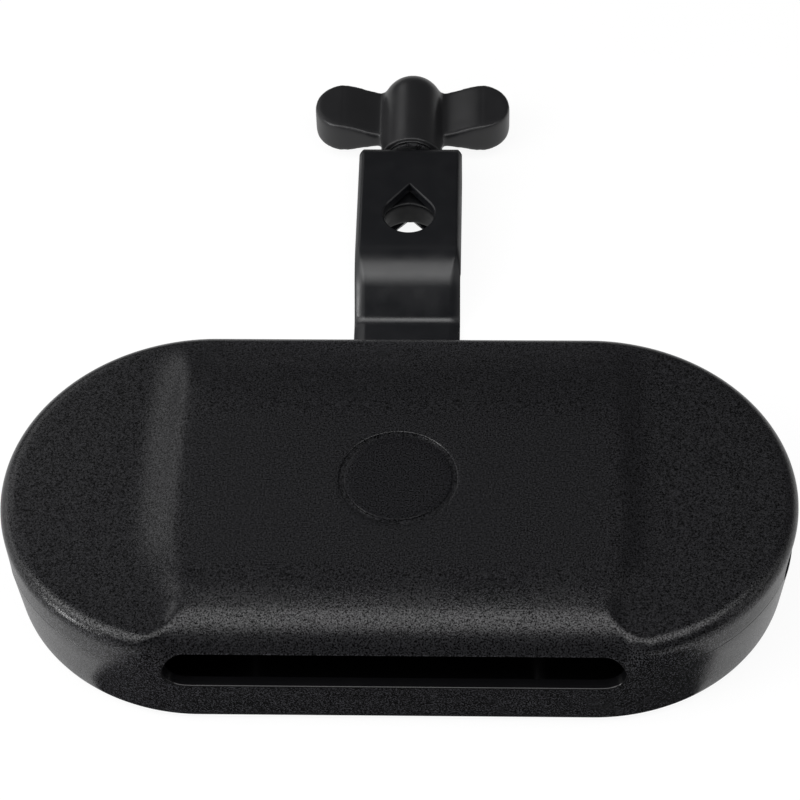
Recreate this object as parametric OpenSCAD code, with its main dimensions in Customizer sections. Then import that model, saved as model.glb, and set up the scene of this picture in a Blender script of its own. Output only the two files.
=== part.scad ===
// Moulded percussion block with a steel strap bracket and an eye bolt rod clamp.
// Origin: middle of the block's underside. +Z up, +X right, +Y towards the clamp.

/* [Block] */
// Overall length of the block, end to end
block_length = 200; // [190:1:212]
// Depth of the block, front to back
block_depth = 103; // [101:0.2:105]
// Height of the flat tops of the two end lobes
lobe_height = 31.4; // [31:0.2:32.4]
// How far the centre field stands above the lobes
crown_rise = 3.4; // [3:0.1:3.6]
// Radius of the soft top edge
edge_radius = 4.2; // [4:0.1:5]
// Thickness of the moulded walls
wall = 3; // [2.6:0.1:3.2]
// Height of the line where the two shells meet
parting_height = 21.4; // [21:0.1:21.6]
// How far the lower shell's wall draws in towards its foot
foot_draft = 2.2; // [2:0.1:2.6]
// Radius of the rounded foot
foot_radius = 4; // [3.5:0.1:4.4]

/* [Striking brow] */
// Distance from the middle to where the top starts to roll forward
brow_start = 26.4; // [26.4:0.05:26.6]
// Radius of the long roll
brow_roll_radius = 57; // [56.5:0.5:58]
// Turn of the long roll before the tight one takes over, in degrees
brow_turn = 13; // [12.8:0.1:13.4]
// Radius of the tighter roll down to the front wall
brow_nose_radius = 16.6; // [16.6:0.1:17]
// Half length of the brow between the lobes
brow_half_length = 52; // [50:0.5:54]

/* [Slots] */
// Length of the front slot
slot_length = 112.4; // [100:0.2:114]
// Height of the slots
slot_height = 10.2; // [9:0.2:10.8]
// Length of the slot in each end
end_slot_length = 40; // [36:1:42]

/* [Medallion ring] */
// Outer radius of the ring groove in the top
ring_radius = 14.8; // [12:0.1:16]
// Width of the ring groove
ring_width = 1.3; // [1:0.1:1.6]
// Depth of the ring groove
ring_depth = 0.6; // [0.4:0.1:0.8]

/* [Bracket] */
// Width of the steel strap
strap_width = 29; // [27:0.5:31]
// Thickness of the steel strap
strap_thickness = 3; // [2.5:0.25:3]
// Where the strap starts to rise behind the block
rise_y = 81.4; // [80:0.1:82]
// Angle of the rise, in degrees
rise_angle = 51.5; // [50:0.5:53]
// Height of the upper jaw's top face
jaw_top = 17; // [16.5:0.25:17.5]
// Rear face of the jaw
jaw_rear_y = 137.4; // [136.5:0.1:137.6]
// Front end of the lower jaw
jaw_front_y = 97; // [96.5:0.5:98.5]
// Radius of the bends, on their inner side
bend_radius = 3; // [2.5:0.25:3.5]

/* [Rod clamp] */
// Radius of the rod hole
rod_hole_radius = 7.05; // [6.8:0.05:7.3]
// Half angle of the hole's notch, in degrees
notch_half_angle = 38; // [37:1:45]
// Distance of the rod hole behind the middle of the block
rod_y = 109.5; // [108.5:0.1:110.5]
// Inner radius of the eye
eye_inner_radius = 7.6; // [7.4:0.05:7.8]
// Outer radius of the eye
eye_outer_radius = 10.8; // [10.4:0.1:11.2]
// Height of the eye
eye_height = 7.6; // [6.5:0.1:8]
// Radius of the eye bolt's shank
shank_radius = 4; // [3.5:0.05:4]
// Play between the threads of shank and insert
thread_play = 0.05; // [0.03:0.01:0.09]

/* [Wing nut] */
// Radius of the wing nut's boss
boss_radius = 8.8; // [8.5:0.1:9.2]
// Near face of the boss
boss_y = 138.2; // [137.6:0.1:138.6]
// Length of the straight part of the boss
boss_length = 22.7; // [22:0.1:24]
// Distance from the axis to a wing's tip
wing_reach = 28; // [26:0.1:30]
// Thickness of the wings at their tips
wing_thickness = 10; // [9.4:0.1:10.4]
// Thickness of the wings beside the boss
wing_waist = 5; // [4.6:0.1:6]

/* [Fasteners] */
// Radius of the screws that hold the bracket
bracket_screw_radius = 2.5; // [2.4:0.05:2.6]
// Radius of the screws that join the shells
shell_screw_radius = 1.75; // [1.6:0.05:1.9]

/* [Hidden] */
$fn = 96;

// Block: a plan with two round ends
end_radius = block_depth / 2;
end_x = block_length / 2 - end_radius;
crown_top = lobe_height + crown_rise;
crown_half = brow_half_length + 3.5;
crown_flank = 7;
crown_front = end_radius + 5;
crown_back = end_radius - 2;
back_roll_start = 17.3;
back_roll_radius = 126.8;

// Brow: a long arc and a tighter one tangent to it, which runs out into the wall
roll_centre = [-brow_start, crown_top - brow_roll_radius];
nose_centre = roll_centre
  + (brow_roll_radius - brow_nose_radius) * [-sin(brow_turn), cos(brow_turn)];

// Lobe corners beside the brow
corner_radius = 14.6;
corner_x = brow_half_length + 14;
corner_y = end_radius - 14;
corner_z = 24;
corner_slope = 0.6;

// Inside of the block
lip_width = 1.2;
lip_height = 1.5;
lip_gap = 0.15;
boss_outer = 4.5;
screw_places = [[84, 0], [36, 36], [36, -26]];
screw_head_z = 3.2;
screw_head_radius = 3.4;
screw_head_height = 2.2;
screw_tip_z = 26;

// Strap and its seat under the block
strap_bottom = 1;
strap_top = strap_bottom + strap_thickness;
strap_inner_y = 8;
pad_thickness = 1;
seat_top = strap_top + pad_thickness;
seat_gap = 0.3;
seat_front_y = strap_inner_y - seat_gap;
plate_thickness = 2;
plate_bottom = seat_top + wall;
bracket_hole_y = [18, 38];
washer_height = 1.3;
nut_height = 4;
nut_radius = 4.6;
screw_play = 0.2;

// Clamp
jaw_bottom = jaw_top - strap_thickness;
clamp_z = (strap_top + jaw_bottom) / 2;
bend_middle = bend_radius + strap_thickness / 2;
bend_blend = 0.01;
insert_radius = 5.3;
insert_y = jaw_rear_y + 0.1;
insert_end_y = 154.2;
shank_end_y = 158;
bore_end_y = 166;
mouth_radius = 7.2;
mouth_depth = 2.4;
wing_root_x = 4;
wing_root_y = 16.5;
wing_root_radius = 9;
wing_tip_y = 17.8;
wing_tip_radius = 9.2;
wing_thin_x = 8;
wing_full_x = 20;

// Upright half section of the block, held in from the surface by t: a wall that is
// upright above the parting line and draws in below it, with rounded top and foot
module side_section(t) {
  r = end_radius - t;
  h = lobe_height - t;
  e = edge_radius - t;
  lean = atan(foot_draft / parting_height);
  foot_x = r - foot_draft * (1 - t / parting_height);
  foot_centre = [foot_x - foot_radius * (1 - sin(lean)) / cos(lean), t + foot_radius];
  difference() {
    polygon([[0, t], [foot_x, t], [r, parting_height], [r, h], [0, h]]);
    difference() {
      translate([r - e, h - e]) square(2 * e);
      translate([r - e, h - e]) circle(e);
    }
    translate(foot_centre) difference() {
      polygon(2 * foot_radius * [[0, 0], [0, -1], [1, -1], [cos(lean), -sin(lean)]]);
      circle(foot_radius);
    }
  }
}

// A half section made into a form with two turned ends and a straight run between them
module round_ended() {
  for (side = [-1, 1])
    translate([side * end_x, 0, 0]) rotate_extrude() children();
  for (turn = [0, 180])
    rotate([0, 0, turn]) rotate([90, 0, 90])
      translate([0, 0, -end_x]) linear_extrude(2 * end_x) children();
}

// The plain pill shape of the block
module pill(t) {
  round_ended() side_section(t);
}

// Half section that keeps the centre field inside the soft top edge: its slope leaves
// the rounding just above the middle of its turn
module crown_trim(t) {
  reach = (edge_radius - t - 0.3) / sqrt(2);
  x = end_radius - edge_radius + reach;
  z = lobe_height - edge_radius + reach;
  polygon([[0, crown_top - 12], [x, crown_top - 12], [x, z], [0, z + x]]);
}

// The raised centre field: a low plateau with sloping flanks, falling to the back
module crown(t) {
  base = crown_top - 10;
  foot_x = crown_half + crown_flank;
  intersection() {
    round_ended() crown_trim(t);
    rotate([90, 0, 0]) translate([0, 0, -end_radius]) linear_extrude(2 * end_radius)
      polygon([
        [-foot_x, base], [-foot_x, lobe_height - t], [-crown_half, crown_top - t],
        [crown_half, crown_top - t], [foot_x, lobe_height - t], [foot_x, base]
      ]);
    rotate([90, 0, 90]) translate([0, 0, -block_length / 2]) linear_extrude(block_length) {
      polygon([
        [-crown_front, base], [-crown_front, crown_top - t],
        [back_roll_start, crown_top - t], [back_roll_start, base]
      ]);
      intersection() {
        translate([back_roll_start, crown_top - back_roll_radius])
          circle(back_roll_radius - t);
        translate([back_roll_start, base]) square([crown_back - t - back_roll_start, 20]);
      }
    }
  }
}

// Side view of the air above and in front of the brow's two arcs, held in by t
module brow_air(t) {
  low = -5;
  high = 60;
  wall_top = nose_centre - [brow_nose_radius - t, 0];
  inside = roll_centre + (brow_roll_radius - t - 2) * [-sin(brow_turn / 2), cos(brow_turn / 2)];
  difference() {
    polygon([
      [-block_depth, low], [wall_top[0], low], wall_top, nose_centre, inside,
      [-brow_start, crown_top - t], [-brow_start, high], [-block_depth, high]
    ]);
    translate(nose_centre) circle(brow_nose_radius - t);
    intersection() {
      translate(roll_centre) circle(brow_roll_radius - t);
      translate(roll_centre)
        polygon([[0, 0], high * [-sin(brow_turn), cos(brow_turn)], [4, high], [4, 0]]);
    }
  }
}

// The two lobes beside the brow, with a sloping inner wall and a rounded front corner
module lobe_region(t) {
  far = block_length;
  rise = 14;
  inner_x = corner_x - corner_radius + t;
  for (side = [0, 1]) mirror([side, 0, 0]) {
    translate([corner_x, -far, -10]) cube([far, 2 * far, far]);
    rotate([90, 0, 0]) linear_extrude(corner_y)
      polygon([
        [far, -10], [inner_x, -10], [inner_x, corner_z],
        [inner_x + corner_slope * rise, corner_z + rise], [far, corner_z + rise]
      ]);
    translate([corner_x, -corner_y, -10]) cylinder(h = corner_z + 10, r = corner_radius - t);
    translate([corner_x, -corner_y, corner_z])
      cylinder(h = rise, r1 = corner_radius - t, r2 = corner_radius - t - corner_slope * rise);
  }
}

// The whole block, held in from its surface by t
module block_form(t) {
  difference() {
    union() {
      pill(t);
      crown(t);
    }
    difference() {
      rotate([90, 0, 90]) translate([0, 0, -corner_x - 2]) linear_extrude(2 * corner_x + 4)
        brow_air(t);
      lobe_region(t);
    }
  }
}

module above(z) {
  translate([-block_length, -block_length, z]) cube(2 * block_length);
}

// A flat bar with round ends, length along X, pushed along Z
module round_bar(length, height, depth) {
  r = height / 2;
  for (side = [-1, 1])
    translate([side * (length / 2 - r), 0, 0]) cylinder(h = depth, r = r);
  translate([-length / 2 + r, -r, 0]) cube([length - 2 * r, height, depth]);
}

// Air slots through the front wall and through both ends
module slots() {
  translate([0, -end_radius + 14, parting_height]) rotate([90, 0, 0])
    round_bar(slot_length, slot_height, 20);
  for (side = [-1, 1])
    translate([side * (block_length / 2 - 10), 0, parting_height])
      rotate([90, 0, side * 90]) round_bar(end_slot_length, slot_height, 20);
}

module at_shell_screws() {
  for (side = [-1, 1], p = screw_places)
    translate([side * p[0], p[1], 0]) children();
}

module at_bracket_holes() {
  for (y = bracket_hole_y) translate([0, y, 0]) children();
}

module upper_shell() {
  color([0.14, 0.14, 0.15]) difference() {
    union() {
      difference() {
        block_form(0);
        block_form(wall);
      }
      intersection() {
        block_form(wall / 2);
        at_shell_screws() cylinder(h = lobe_height, r = boss_outer);
      }
    }
    mirror([0, 0, 1]) above(-parting_height);
    intersection() {
      block_form(wall - lip_width - lip_gap);
      translate([0, 0, parting_height + lip_height + lip_gap]) mirror([0, 0, 1]) above(0);
    }
    slots();
    translate([0, 0, parting_height - 1])
      at_shell_screws() cylinder(h = screw_tip_z - parting_height + 1.5, r = shell_screw_radius + 0.02);
    translate([0, 0, crown_top - ring_depth]) difference() {
      cylinder(h = 2, r = ring_radius);
      translate([0, 0, -1]) cylinder(h = 4, r = ring_radius - ring_width);
    }
  }
}

module lower_shell() {
  color([0.13, 0.13, 0.14]) difference() {
    union() {
      difference() {
        block_form(0);
        block_form(wall);
        above(parting_height);
      }
      intersection() {
        difference() {
          block_form(wall - lip_width);
          block_form(wall);
        }
        above(parting_height - 2);
        mirror([0, 0, 1]) above(-parting_height - lip_height);
      }
      intersection() {
        block_form(wall / 2);
        union() {
          at_shell_screws() cylinder(h = parting_height, r = boss_outer);
          translate([-strap_width / 2 - wall, strap_inner_y - 4, 0])
            cube([strap_width + 2 * wall, end_radius, plate_bottom]);
        }
      }
    }
    translate([-strap_width / 2 - seat_gap, seat_front_y, -1])
      cube([strap_width + 2 * seat_gap, end_radius, seat_top + 1]);
    at_bracket_holes() cylinder(h = plate_bottom + 1, r = bracket_screw_radius + screw_play);
    at_shell_screws() translate([0, 0, -1])
      cylinder(h = parting_height + 4, r = shell_screw_radius + screw_play);
    at_shell_screws() translate([0, 0, -1])
      cylinder(h = screw_head_z + screw_head_height + 1, r = screw_head_radius + screw_play);
    slots();
  }
}

// Self-tapping screws that draw the two shells together from below
module shell_screws() {
  head_top = screw_head_z + screw_head_height;
  color([0.3, 0.3, 0.32]) at_shell_screws() difference() {
    union() {
      translate([0, 0, screw_head_z]) cylinder(h = screw_head_height, r = screw_head_radius);
      translate([0, 0, head_top]) cylinder(h = screw_tip_z - head_top - 2, r = shell_screw_radius);
      translate([0, 0, screw_tip_z - 2])
        cylinder(h = 2, r1 = shell_screw_radius, r2 = shell_screw_radius / 3);
    }
    for (turn = [0, 90]) rotate([0, 0, turn])
      translate([-2, -0.4, screw_head_z - 1]) cube([4, 0.8, 2.2]);
  }
}

// Points of the strap's middle line, seen from the side, before the bends are rounded
function strap_path() =
  let (low = strap_bottom + strap_thickness / 2,
       high = jaw_top - strap_thickness / 2,
       rear = jaw_rear_y - strap_thickness / 2)
  [
    [strap_inner_y, low], [rise_y, low],
    [rise_y + (high - low) / tan(rise_angle), high],
    [rear, high], [rear, low], [jaw_front_y, low]
  ];

// Unit vector from one point to another, and the same turned a quarter left
function unit(from, to) = (to - from) / norm(to - from);
function left(v) = [-v[1], v[0]];

// Step from a corner of the path towards its left side, for a distance d off both runs
function mitre(u, v, d) = d * (left(u) + left(v)) / (1 + u * v);

// Points on one side of the strap, left for d > 0 and right for d < 0. On the inner
// side of a bend they go round by the bend's centre.
function strap_side(path, d) = [
  for (i = [0:len(path) - 1])
    let (u = unit(path[max(i - 1, 0)], path[max(i, 1)]),
         v = unit(path[min(i, len(path) - 2)], path[min(i + 1, len(path) - 1)]),
         turn = sign(cross(u, v)),
         centre = path[i] + mitre(u, v, turn * bend_middle))
    each turn * d > 0
      ? [centre - turn * bend_radius * left(u), centre, centre - turn * bend_radius * left(v)]
      : [path[i] + mitre(u, v, d)]
];

// Places its children at the centre of each bend
module at_bends(path) {
  for (i = [1:len(path) - 2]) {
    $u = unit(path[i - 1], path[i]);
    $v = unit(path[i], path[i + 1]);
    $turn = sign(cross($u, $v));
    translate(path[i] + mitre($u, $v, $turn * bend_middle)) children();
  }
}

function reversed(list) = [for (i = [len(list) - 1:-1:0]) list[i]];

// Side view of the whole strap: seat, rise, upper jaw, rear wall and lower jaw
module strap_section() {
  path = strap_path();
  outer = bend_radius + strap_thickness;
  beyond = outer + 2;
  difference() {
    polygon(concat(
      strap_side(path, strap_thickness / 2),
      reversed(strap_side(path, -strap_thickness / 2))
    ));
    at_bends(path) circle(bend_radius + bend_blend);
    at_bends(path) difference() {
      polygon([
        [0, 0], -$turn * beyond * left($u),
        -mitre($u, $v, $turn * beyond), -$turn * beyond * left($v)
      ]);
      circle(outer);
    }
  }
}

// Rod hole: round in front, with a notch at the back that grips the rod
module rod_hole() {
  side = cos(notch_half_angle);
  rise = sin(notch_half_angle);
  inner = rod_hole_radius - 0.03;
  translate([0, rod_y, 0]) {
    translate([0, 0, -1]) cylinder(h = jaw_top + 2, r = rod_hole_radius);
    translate([0, 0, -1]) linear_extrude(jaw_top + 2) polygon([
      [0, 0], inner * [side, rise],
      [0, rod_hole_radius / rise], inner * [-side, rise]
    ]);
  }
}

module bracket() {
  color([0.1, 0.1, 0.11]) difference() {
    rotate([90, 0, 90]) translate([0, 0, -strap_width / 2])
      linear_extrude(strap_width) strap_section();
    rod_hole();
    translate([0, jaw_rear_y - strap_thickness - 4, clamp_z]) rotate([-90, 0, 0])
      cylinder(h = 10, r = shank_radius + 0.3);
    at_bracket_holes() {
      cylinder(h = 6, r = bracket_screw_radius + screw_play);
      translate([0, 0, strap_bottom])
        cylinder(h = 2.7, r1 = 5.2, r2 = bracket_screw_radius);
    }
  }
}

// Thin rubber sheet between the strap and the block
module bracket_pad() {
  color([0.06, 0.06, 0.06]) difference() {
    translate([-strap_width / 2, strap_inner_y, strap_top])
      cube([strap_width, end_radius - 3 - strap_inner_y, pad_thickness]);
    at_bracket_holes() cylinder(h = 10, r = bracket_screw_radius + screw_play);
  }
}

// Steel plate inside the block that spreads the load of the bracket screws
module backing_plate() {
  margin = 8;
  y0 = bracket_hole_y[0] - margin;
  y1 = min(bracket_hole_y[1] + margin, end_radius - wall - 1.5);
  color([0.55, 0.56, 0.58]) difference() {
    translate([-strap_width / 2 + 2, y0, plate_bottom])
      cube([strap_width - 4, y1 - y0, plate_thickness]);
    at_bracket_holes() cylinder(h = 20, r = bracket_screw_radius + screw_play);
  }
}

// Flat-headed machine screws, flush with the underside of the strap
module bracket_screws() {
  tip = plate_bottom + plate_thickness + washer_height + nut_height + 1.2;
  color([0.2, 0.2, 0.21]) at_bracket_holes() difference() {
    union() {
      translate([0, 0, strap_bottom]) cylinder(h = 2.4, r1 = 4.9, r2 = bracket_screw_radius);
      translate([0, 0, strap_bottom + 2.4])
        cylinder(h = tip - strap_bottom - 2.4, r = bracket_screw_radius);
    }
    for (turn = [0, 90]) rotate([0, 0, turn])
      translate([-2.4, -0.5, strap_bottom - 1]) cube([4.8, 1, 2.4]);
  }
}

module bracket_lock_washers() {
  color([0.6, 0.6, 0.62]) at_bracket_holes()
    translate([0, 0, plate_bottom + plate_thickness]) difference() {
      cylinder(h = washer_height, r = nut_radius - 0.2);
      translate([0, 0, -1]) cylinder(h = washer_height + 2, r = bracket_screw_radius + screw_play);
      translate([0, -0.4, -1]) cube([8, 0.8, washer_height + 2]);
    }
}

module bracket_nuts() {
  color([0.6, 0.6, 0.62]) at_bracket_holes()
    translate([0, 0, plate_bottom + plate_thickness + washer_height]) difference() {
      cylinder(h = nut_height, r = nut_radius, $fn = 6);
      translate([0, 0, -1]) cylinder(h = nut_height + 2, r = bracket_screw_radius + 0.03);
    }
}

// Forged eye that goes round the rod, with a threaded shank through the rear wall
module eye_bolt() {
  color([0.1, 0.1, 0.11]) difference() {
    union() {
      translate([0, rod_y, clamp_z - eye_height / 2])
        cylinder(h = eye_height, r = eye_outer_radius);
      translate([0, rod_y, clamp_z]) rotate([-90, 0, 0])
        cylinder(h = shank_end_y - rod_y - 1, r = shank_radius);
      translate([0, shank_end_y - 1, clamp_z]) rotate([-90, 0, 0])
        cylinder(h = 1, r1 = shank_radius, r2 = shank_radius - 1);
    }
    translate([0, rod_y, 0]) cylinder(h = jaw_top, r = eye_inner_radius);
  }
}

// Plan view of one wing: a wide round tip joined to the boss by tangent lines
module wing_plan() {
  root = [wing_root_x, boss_y + wing_root_y];
  tip = [wing_reach - wing_tip_radius, boss_y + wing_tip_y];
  along = unit(root, tip);
  lean = (wing_root_radius - wing_tip_radius) / norm(tip - root);
  upper = lean * along + sqrt(1 - lean * lean) * left(along);
  lower = lean * along - sqrt(1 - lean * lean) * left(along);
  translate(root) circle(wing_root_radius);
  translate(tip) circle(wing_tip_radius);
  polygon([
    root + wing_root_radius * upper, tip + wing_tip_radius * upper, tip,
    tip + wing_tip_radius * lower, root + wing_root_radius * lower, root
  ]);
}

// Front view of one wing: thin beside the boss, thicker towards the tip
module wing_front() {
  thin = wing_waist / 2;
  thick = wing_thickness / 2;
  far = wing_reach + 1;
  polygon([
    [-wing_root_x, -thin], [wing_thin_x, -thin], [wing_full_x, -thick], [far, -thick],
    [far, thick], [wing_full_x, thick], [wing_thin_x, thin], [-wing_root_x, thin]
  ]);
}

module wing() {
  intersection() {
    translate([0, 0, clamp_z - wing_thickness]) linear_extrude(2 * wing_thickness) wing_plan();
    translate([0, boss_y + 40, clamp_z]) rotate([90, 0, 0]) linear_extrude(50) wing_front();
  }
}

module wing_nut_grip() {
  color([0.16, 0.16, 0.17]) difference() {
    union() {
      translate([0, boss_y, clamp_z]) rotate([-90, 0, 0])
        cylinder(h = boss_length, r = boss_radius);
      translate([0, boss_y + boss_length, clamp_z]) sphere(boss_radius);
      for (side = [0, 1]) mirror([side, 0, 0]) wing();
    }
    translate([0, boss_y - 1, clamp_z]) rotate([-90, 0, 0]) {
      cylinder(h = mouth_depth + 1, r = mouth_radius);
      cylinder(h = insert_end_y - boss_y + 1, r = insert_radius);
      cylinder(h = bore_end_y - boss_y + 1, r = shank_radius + 0.4);
    }
  }
}

// Threaded steel bush moulded into the wing nut; its end stands proud of the boss
// and bears on the strap
module wing_nut_insert() {
  length = insert_end_y - insert_y;
  color([0.75, 0.75, 0.77]) translate([0, insert_y, clamp_z]) rotate([-90, 0, 0]) difference() {
    cylinder(h = length, r = insert_radius);
    translate([0, 0, -1]) cylinder(h = length + 2, r = shank_radius + thread_play);
  }
}

upper_shell();
lower_shell();
shell_screws();
bracket();
bracket_pad();
backing_plate();
bracket_screws();
bracket_lock_washers();
bracket_nuts();
eye_bolt();
wing_nut_grip();
wing_nut_insert();
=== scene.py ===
"""Looks of the mounted percussion block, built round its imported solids."""

import math

import bmesh
import bpy
from bpy.props import FloatProperty, FloatVectorProperty, IntProperty, PointerProperty
from mathutils import Matrix, Vector


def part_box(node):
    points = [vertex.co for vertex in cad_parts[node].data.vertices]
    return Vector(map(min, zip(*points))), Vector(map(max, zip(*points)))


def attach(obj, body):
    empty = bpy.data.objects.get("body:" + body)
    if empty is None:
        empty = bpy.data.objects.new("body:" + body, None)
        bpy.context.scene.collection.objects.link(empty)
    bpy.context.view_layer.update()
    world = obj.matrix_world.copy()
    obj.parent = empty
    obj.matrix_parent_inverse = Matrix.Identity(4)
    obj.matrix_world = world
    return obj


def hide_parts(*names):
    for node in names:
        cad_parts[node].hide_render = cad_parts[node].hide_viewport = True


bl_info = {
    "name": "Mounted percussion block",
    "version": (1, 0, 0),
    "blender": (4, 5, 0),
    "location": "3D View > Sidebar > Percussion block",
    "description": "Moulded shells, strap bracket, eye bolt clamp and stage",
    "category": "Object",
}

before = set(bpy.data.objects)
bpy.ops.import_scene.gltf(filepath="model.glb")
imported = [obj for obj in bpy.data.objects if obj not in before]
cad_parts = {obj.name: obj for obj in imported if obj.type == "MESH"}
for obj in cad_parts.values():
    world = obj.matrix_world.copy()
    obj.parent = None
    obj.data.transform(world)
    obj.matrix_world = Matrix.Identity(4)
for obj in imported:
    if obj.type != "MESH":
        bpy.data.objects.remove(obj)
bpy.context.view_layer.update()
mm = 0.001

# The block's plan is a long pill: two round ends joined by straight sides.
upper_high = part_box("upper_shell")[1]
end_radius = upper_high.y
end_x = upper_high.x - end_radius
crown_top = upper_high.z
half_turn = math.pi * end_radius
round_length = 4 * end_x + 2 * half_turn
end_station = end_x + half_turn / 2

parting_height = 21.4 * mm
lobe_height = 31.4 * mm
edge_radius = 4.2 * mm
wall = 3 * mm
foot_draft = 2.2 * mm
foot_radius = 4 * mm
slot_half_height = 5.1 * mm

# Half lengths of the slots' straight parts, measured round the block.
front_slot_half = 51.1 * mm
end_slot_half = 15.4 * mm

# The brow turns over two arcs: a long roll and a tighter nose.
brow_start = -26.4 * mm
roll_radius = 57 * mm
roll_centre_z = crown_top - roll_radius
nose_start = brow_start - roll_radius * math.sin(math.radians(13))
nose_radius = 16.6 * mm
nose_centre = Vector((nose_start + nose_radius * math.sin(math.radians(13)),
                      roll_centre_z + (roll_radius - nose_radius) * math.cos(math.radians(13))))

# The roll starts with a narrow flat facet, which gives the field a crisp front edge.
crease_reach = 4 * mm
brow_crease = (roll_radius - math.sqrt(roll_radius ** 2 - crease_reach ** 2)) / crease_reach

# Behind the middle the raised field falls over one long arc.
back_roll_start = 17.3 * mm
back_roll_radius = 126.8 * mm

# Edge of the raised field and width of the flank beside it: (y, value) from front to back.
ridge_line = [(-51.5, 58.2), (-48, 55.6), (-45, 53.7), (-42, 52.5), (-38, 52.0), (-33, 52.9),
              (-27, 54.5), (-20, 55.5), (-10, 55.9), (40, 55.9)]
flank_width = [(-51.5, 6.5), (-48, 4.4), (-45, 3.4), (-40, 3.4), (-33, 6.0), (-20, 10.0),
               (40, 10.0)]

# The columns of the top run straight inwards from its edge to a round hub in the middle.
top_start = 14 * mm
hub_radius = 16.6 * mm
hub_rings = [11 * mm, 8 * mm, 5 * mm, 2 * mm]

# Section of the ring groove: (distance from its middle in groove widths, share of its depth).
groove_section = [(0.72, 0), (0.6, 0.08), (0.52, 0.3), (0.46, 0.8), (0.36, 1), (0, 1.05),
                  (-0.36, 1), (-0.46, 0.8), (-0.52, 0.3), (-0.6, 0.08), (-0.72, 0)]

# Strap, from the side: both ends of its rise, its lower end, its bends and its screws.
rise_foot_y = 81.4 * mm
rise_head_y = 91.74 * mm
strap_end_y = 97 * mm
bend_radii = [4.5 * mm, 12.5 * mm, 3.2 * mm, 4.5 * mm]
strap_screw_y = [18 * mm, 38 * mm]

# Screws that join the shells, mirrored to the other side, in mm: (x, y).
shell_screws = [(84, 0), (36, 36), (36, -26)]

# Clamp: the axis of its shank, the rod hole and the wing nut.
clamp_z = 9 * mm
rod_y = 109.5 * mm
rod_hole_radius = 7.05 * mm
boss_radius = 8.8 * mm
wing_thin_x = 8 * mm

# Section of the rod hole through both jaws, in mm: (z, added radius).
rod_hole_rings = [(-1, 2.2), (1, 1.5), (3.4, 0), (3.75, 0.1), (4.0, 0.4), (6, 0.4), (6.4, 0),
                  (16.4, 0), (16.7, 0.1), (17, 0.45), (18, 1.6)]

# Edges that turn by more than this are shaded crisp.
sharp_angle = math.radians(35)


class BlockSizes(bpy.types.PropertyGroup):
    """Sizes of the moulded block that the solids leave sharp."""

    slot_lip: FloatProperty(
        name="Slot lip", description="Rounding of the sound slots' edges",
        default=0.55 * mm, min=0.2 * mm, max=1.6 * mm, unit="LENGTH")
    parting_bevel: FloatProperty(
        name="Parting line", description="Rounding of the two shells where they meet",
        default=0.22 * mm, min=0.05 * mm, max=0.6 * mm, unit="LENGTH")
    column_step: FloatProperty(
        name="Column step", description="Distance between the mesh's columns round the block",
        default=1.1 * mm, min=0.8 * mm, max=4 * mm, unit="LENGTH")
    ring_inner: FloatProperty(
        name="Ring inner radius", description="Inner radius of the round groove in the top",
        default=13.5 * mm, min=8 * mm, max=14 * mm, unit="LENGTH")
    ring_outer: FloatProperty(
        name="Ring outer radius", description="Outer radius of the round groove in the top",
        default=14.8 * mm, min=10 * mm, max=15.5 * mm, unit="LENGTH")
    ring_depth: FloatProperty(
        name="Ring depth", description="Depth of the round groove in the top",
        default=0.6 * mm, min=0.1 * mm, max=1 * mm, unit="LENGTH")


class ClampSizes(bpy.types.PropertyGroup):
    """Sizes of the strap, the eye bolt and the wing nut."""

    strap_edge: FloatProperty(
        name="Strap edge", description="Width of the rolled edges of the steel strap",
        default=3.0 * mm, min=0.4 * mm, max=4 * mm, unit="LENGTH")
    wing_softening: IntProperty(
        name="Wing softening", description="How often the wing nut's surface is smoothed",
        default=24, min=2, max=60)
    bolt_softening: IntProperty(
        name="Bolt softening", description="How often the eye bolt's surface is smoothed",
        default=8, min=1, max=30)


class FinishColours(bpy.types.PropertyGroup):
    """Colours and gloss of the finishes."""

    plastic: FloatVectorProperty(
        name="Block plastic", description="Colour of the grained plastic",
        subtype="COLOR", size=3, min=0, max=1, default=(0.0068, 0.0068, 0.0077))
    plastic_roughness: FloatProperty(
        name="Block roughness", description="How dull the block's plastic is",
        subtype="FACTOR", default=0.25, min=0, max=1)
    grip: FloatVectorProperty(
        name="Wing nut plastic", description="Colour of the wing nut",
        subtype="COLOR", size=3, min=0, max=1, default=(0.012, 0.012, 0.013))
    coat: FloatVectorProperty(
        name="Coated steel", description="Colour of the strap's coat",
        subtype="COLOR", size=3, min=0, max=1, default=(0.0035, 0.0038, 0.005))
    plate: FloatVectorProperty(
        name="Plated steel", description="Colour of the zinc plated parts",
        subtype="COLOR", size=3, min=0, max=1, default=(0.62, 0.62, 0.64))
    rubber: FloatVectorProperty(
        name="Rubber", description="Colour of the thin pad",
        subtype="COLOR", size=3, min=0, max=1, default=(0.02, 0.02, 0.02))


def smooth_step(value):
    """Runs from 0 to 1 with level ends."""
    t = min(max(value, 0.0), 1.0)
    return t * t * (3 - 2 * t)


def new_material(name):
    """Gives a fresh node material and its main shader."""
    material = bpy.data.materials.new(name)
    material.use_nodes = True
    return material, material.node_tree.nodes["Principled BSDF"]


def add_node(material, kind, **settings):
    """Adds one shader node, with its plain settings."""
    node = material.node_tree.nodes.new(kind)
    for key, value in settings.items():
        setattr(node, key, value)
    return node


def object_noise(material, scale, detail, roughness=0.5):
    """Adds a noise that keeps its place on the object."""
    links = material.node_tree.links
    place = add_node(material, "ShaderNodeTexCoord")
    noise = add_node(material, "ShaderNodeTexNoise")
    noise.inputs["Scale"].default_value = scale
    noise.inputs["Detail"].default_value = detail
    noise.inputs["Roughness"].default_value = roughness
    links.new(place.outputs["Object"], noise.inputs["Vector"])
    return noise.outputs["Fac"]


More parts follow.
